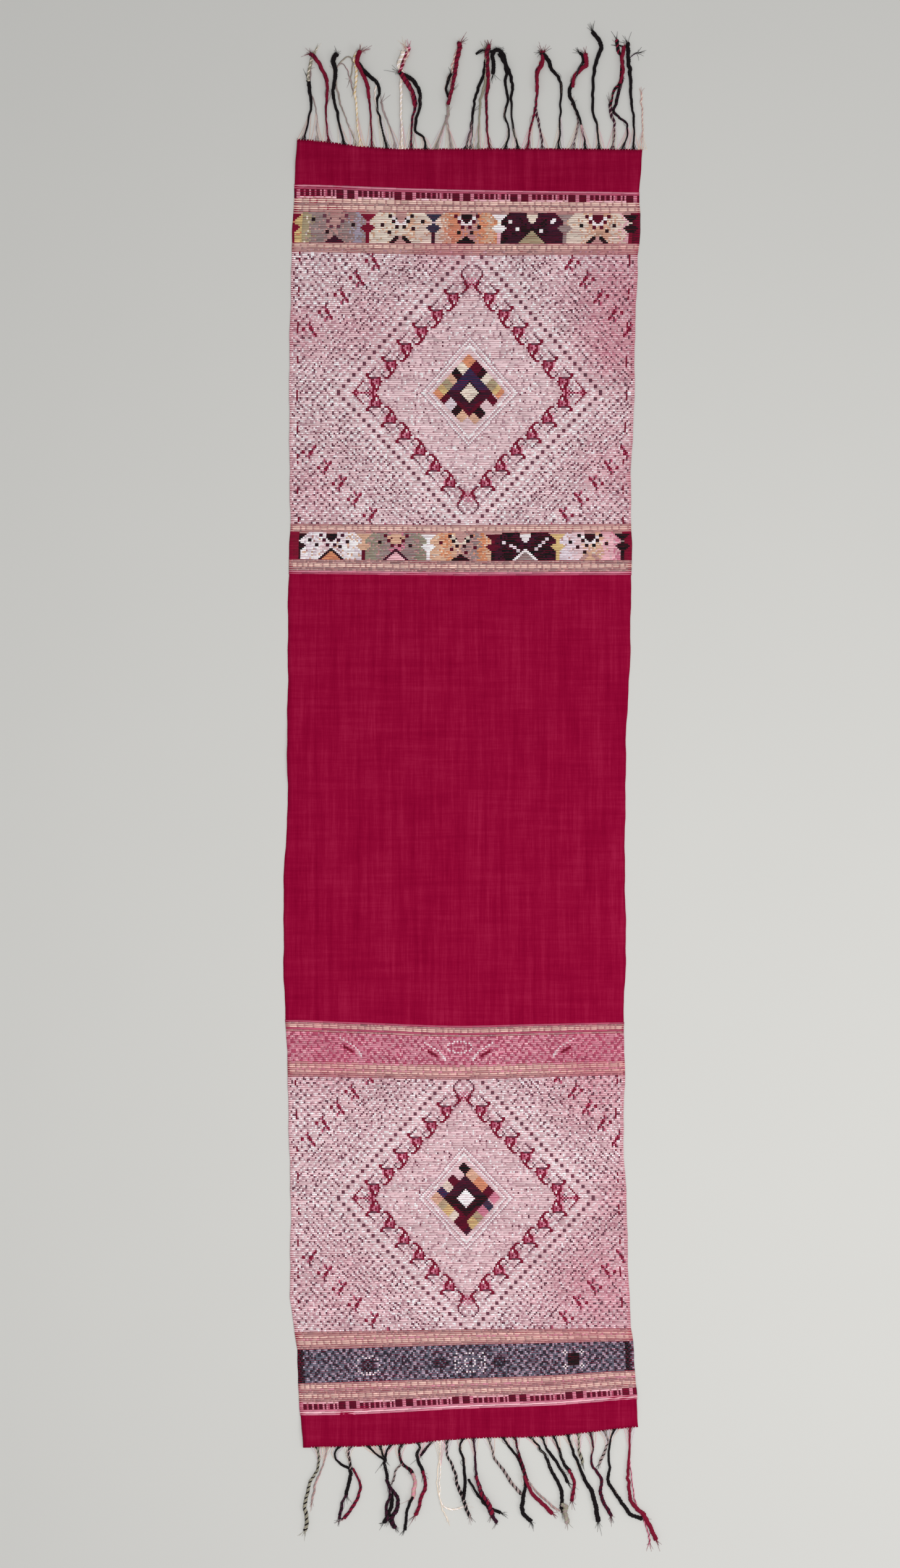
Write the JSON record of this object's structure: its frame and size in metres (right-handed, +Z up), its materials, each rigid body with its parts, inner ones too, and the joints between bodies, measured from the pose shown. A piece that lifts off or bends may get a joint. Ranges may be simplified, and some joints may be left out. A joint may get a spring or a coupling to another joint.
{
  "type": "ceremonial cloth",
  "caption": "Long hand-woven cloth lying flat, with extra-weft pattern fields and bands and a twisted warp fringe at each end.",
  "frame": {"origin": "middle of the whole outline, fringes included, at the underside that lies on the surface", "axes": "+Y along the warp to the head end, +X across the cloth to the right as the pattern faces up, +Z up out of the cloth"},
  "size_m": [0.4842, 1.9322, 0.0043],
  "materials": {
    "woven_cloth": "plain-woven crimson cotton, dull, slightly slubby",
    "pattern_weft": "untwisted silk extra weft, soft sheen",
    "warp_fringe": "hand-twisted cotton and silk yarn, dull"
  },
  "bodies": {
    "root": {"cloth": "woven_cloth", "head_fringe": "warp_fringe", "foot_fringe": "warp_fringe"}
  },
  "joints": []
}
